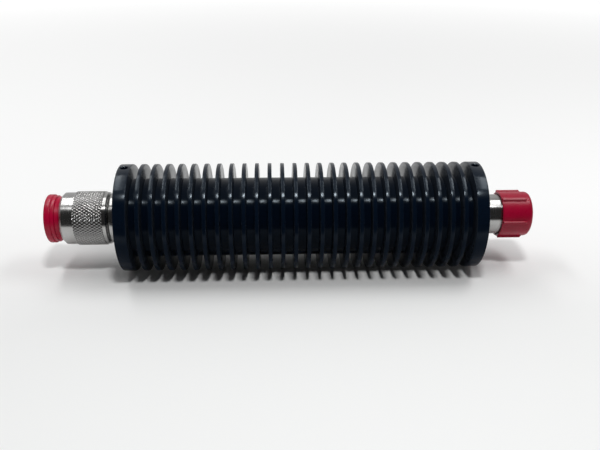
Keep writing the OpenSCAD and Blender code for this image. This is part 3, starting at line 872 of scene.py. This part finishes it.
# A point is its distance from the heat sink, its radius, and its share of the rib's height.
cap_points = [
    (cap_floor, 0, 0), (cap_floor, floor_ring, 0), (cap_floor, cap_bore - bore_ease, 0),
    (cap_floor - bore_ease, cap_bore, 0), (cap_rim + bore_ease, cap_bore, 0),
    (cap_rim, cap_bore + mouth_ease, 0), (cap_rim, cap_r - rim_ease, 0), (cap_rim + rim_ease, cap_r, 0)]
for rise in rise_places:
    cap_points.append((cap_rim + rise, cap_r, min(1.0, (rise - rim_ease) / rib_rise)))
risen = rise_places[-1]
for step in range(1, crest_steps + 1):
    cap_points.append((cap_rim + risen + (rib_crest - risen) * step / crest_steps, cap_r, 1.0))
for step in range(1, fade_steps + 1):
    cap_points.append((cap_rim + rib_crest + rib_high * step / fade_steps, cap_r, 1 - step / fade_steps))
for step in range(round_steps + 1):
    a = math.radians(90 - 90 * step / round_steps)
    out, up = cap_round * math.cos(a), cap_round * math.sin(a)
    cap_points.append((cap_end - cap_round + out, cap_r - cap_round + up, 0))
cap_points += [(cap_end, ring, 0) for ring in end_rings]
cap_line = outline_mesh("cap_line", [(at_v(p[0]), p[1]) for p in cap_points])
cap_line.attributes.new("rib", "FLOAT", "POINT").data.foreach_set("value", [p[2] for p in cap_points])
print("points in the cap's half section:", len(cap_points))

# %% Mould the cap
CAP_SEGMENTS = 360
rib_count, rib_wide, rib_foot = 6, 1.0, 0.16
first_rib = math.radians(-28)
cap_shell = grow("cap_shell", cap_line, ribbed, {
    "Ribs": rib_count, "First rib": first_rib, "Rib width": rib_wide * MM, "Rib height": rib_high * MM,
    "Foot": rib_foot * MM, "Segments": CAP_SEGMENTS, "Axis height": axis_z, "Finish": cap_red})
ribbed_cap = finished("ribbed_cap", [cap_shell], crease=COVER_CREASE)

# %% [markdown]
# ## Riding and replacing
# Each new piece takes the place of its CAD solid and moves with that solid's body. The inner pieces keep
# their solids, because those already have the right shape, and only get their finish.

# %% Attach the pieces
new_pieces = [
    (finned_bar, "attenuator", "anodised", ["heat_sink"]),
    (set_screws, "attenuator", "screw_steel", ["plug_end_set_screws", "jack_end_set_screws"]),
    (plug_collar, "attenuator", "stainless", ["plug_body"]),
    (knurled_nut, "nut", "stainless", ["coupling_nut"]),
    (jack_barrel, "attenuator", "stainless", ["jack_body"]),
    (red_plug, "plug_cover", "red_plastic", ["dust_plug"]),
    (ribbed_cap, "jack_cover", "red_plastic", ["dust_cap"])]
for piece, body, slot, solids in new_pieces:
    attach(piece, body)
    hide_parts(*solids)
inner_looks = {
    "plug_outer_contact": white_bronze, "plug_insulator": fluoropolymer, "plug_centre_pin": gold,
    "plug_gasket": silicone, "nut_retaining_ring": oxide_steel, "jack_insulator": fluoropolymer,
    "jack_centre_socket": gold, "lower_carrier": bare_aluminium, "upper_carrier": bare_aluminium,
    "attenuator_card": ceramic, "plug_contact_tab": gold, "jack_contact_tab": gold}
for solid, look in inner_looks.items():
    nodes[solid].data.materials.clear()
    nodes[solid].data.materials.append(look)
print("pieces attached:", len(new_pieces), "solids dressed:", len(inner_looks))

# %% [markdown]
# ## Table, light and camera
# The part lies on a white table, with one small lamp above and a little to the front, a long lamp to each
# side, and a dark room on the camera's side. That dark side is what makes the black fins look black and gives
# the steel its dark band, so the sky is drawn as bands by the angle round the part's axis. The front lamp is
# small, so the fins throw separate stripes of shadow. The long lamps throw the fainter shadows beyond both
# ends and stand as bright bands in the steel. In reflections only, the table is painted dark from a hand's
# breadth in front of the part: a painted reflection of the dark room, as a dark card laid there would give.
# The table's colour grows paler towards the back, which is painted light. Far from the lamps the camera sees
# the table lighter than it is lit, and the sky as a plain pale backdrop.

# %% The table
half_wide = 3.0
painted_light_range = (-0.04, 0.06)
dark_reflection_edge = (-0.125, -0.085)
painted_reflection_tone = (0.02, 0.02, 0.02, 1)
lit_middle = (0, -0.12, 0)
far_range, far_glow = (0.12, 0.92), 0.66

table_mesh = bpy.data.meshes.new("table")
table_corners = [(x * half_wide, y * half_wide, 0) for x, y in [(-1, -1), (1, -1), (1, 1), (-1, 1)]]
table_mesh.from_pydata(table_corners, [], [(0, 1, 2, 3)])
table = bpy.data.objects.new("table", table_mesh)
scene.collection.objects.link(table)
paper, tree, shader, place = finish("white_table")
ray = add(tree, "ShaderNodeLightPath").outputs
ahead = parts_of(tree, place)[1]
# The table's colour grows paler towards the back: painted light.
painted_light_to_back = spread(tree, ahead, 0, 0.9, *painted_light_range)
uneven = calc(tree, "MULTIPLY_ADD", grain(tree, place, scale=6.0), 0.1, painted_light_to_back)
sheet = blend_colours(tree, uneven, (0.85, 0.857, 0.853), (0.955, 0.96, 0.957))
# Glossy rays see the table dark in front of the part: a painted reflection of the dark room.
painted_dark_reflection = calc(tree, "MULTIPLY", spread(tree, ahead, 1, 0, *dark_reflection_edge), ray["Is Glossy Ray"])
tree.links.new(mix_colours(tree, painted_dark_reflection, sheet, painted_reflection_tone), shader.inputs["Base Color"])
away = add(tree, "ShaderNodeVectorMath", {0: place, 1: lit_middle}, operation="DISTANCE").outputs["Value"]
seen = calc(tree, "MULTIPLY", spread(tree, away, 0, far_glow, *far_range), ray["Is Camera Ray"])
tree.links.new(seen, shader.inputs["Emission Strength"])
shader.inputs["Emission Color"].default_value = (1, 1, 1, 1)
shader.inputs["Roughness"].default_value = 0.7
shader.inputs["Specular IOR Level"].default_value = 0.2
table_mesh.materials.append(paper)
print("table:", 2 * half_wide, "m wide")

# %% The sky in bands
backdrop = (0.9, 0.9, 0.9, 1)
bands_by_degrees = [(0, 0.035), (58, 0.035), (72, 0.24), (88, 0.4), (126, 0.47), (140, 0.62), (180, 0.6)]

world = bpy.data.worlds.new("studio")
scene.world = world
world.use_nodes = True
sky = world.node_tree
_, y, z = parts_of(sky, add(sky, "ShaderNodeTexCoord").outputs["Generated"])
angle = calc(sky, "ARCTAN2", z, calc(sky, "MULTIPLY", y, -1.0))
bands = add(sky, "ShaderNodeValToRGB", {"Fac": calc(sky, "DIVIDE", angle, math.pi)})
stops = bands.color_ramp.elements
while len(stops) < len(bands_by_degrees):
    stops.new(0.5)
for stop, (degrees, level) in zip(stops, bands_by_degrees):
    stop.position = degrees / 180
    stop.color = (level, level, level, 1)
direct = add(sky, "ShaderNodeLightPath").outputs["Is Camera Ray"]
shown = mix_colours(sky, direct, bands.outputs["Color"], backdrop)
sky.links.new(shown, sky.nodes["Background"].inputs["Color"])
print("bands in the sky:", len(stops))

# %% The lamps


def hang(name, place, wide, deep, level, tilt=0.0):
    """A flat lamp of even brightness that faces down, or a little to the back."""
    data = bpy.data.lights.new(name, "AREA")
    data.shape = "RECTANGLE"
    data.size, data.size_y = wide, deep
    data.energy = level * math.pi * wide * deep
    lamp = bpy.data.objects.new(name, data)
    lamp.location = place
    lamp.rotation_euler = (tilt, 0, 0)
    scene.collection.objects.link(lamp)
    print(name, "at", [round(c, 3) for c in place], "of", round(data.energy, 2), "W")


lit_x, lit_y, lit_z = 0.022, -0.014, 0.036
reach, slant = 0.45, math.radians(69.5)
front_place = (lit_x, lit_y - reach * math.cos(slant), lit_z + reach * math.sin(slant))
hang("front_lamp", front_place, wide=0.056, deep=0.064, level=96, tilt=slant - math.pi / 2)
hang("right_lamp", (0.25, 0.04, 0.45), wide=0.12, deep=0.24, level=7.2)
hang("left_lamp", (-0.21, 0.13, 0.45), wide=0.08, deep=0.34, level=7.7)

# %% The camera
sensor_wide = 36
picture_wide, focal_pixels, shift_pixels = 600, 671.8, 36.8
camera_turn = (61.10508, -0.36905, -2.21880)

lens_data = bpy.data.cameras.new("camera")
lens_data.sensor_width = sensor_wide
lens_data.lens = sensor_wide * focal_pixels / picture_wide
lens_data.shift_y = shift_pixels / picture_wide
lens_data.clip_start = 0.01
camera = bpy.data.objects.new("camera", lens_data)
camera.location = (-0.006800, -0.243916, 0.134740)
camera.rotation_euler = [math.radians(a) for a in camera_turn]
scene.collection.objects.link(camera)
scene.camera = camera
scene.view_settings.view_transform = "Standard"
print("lens:", round(lens_data.lens, 1), "mm")
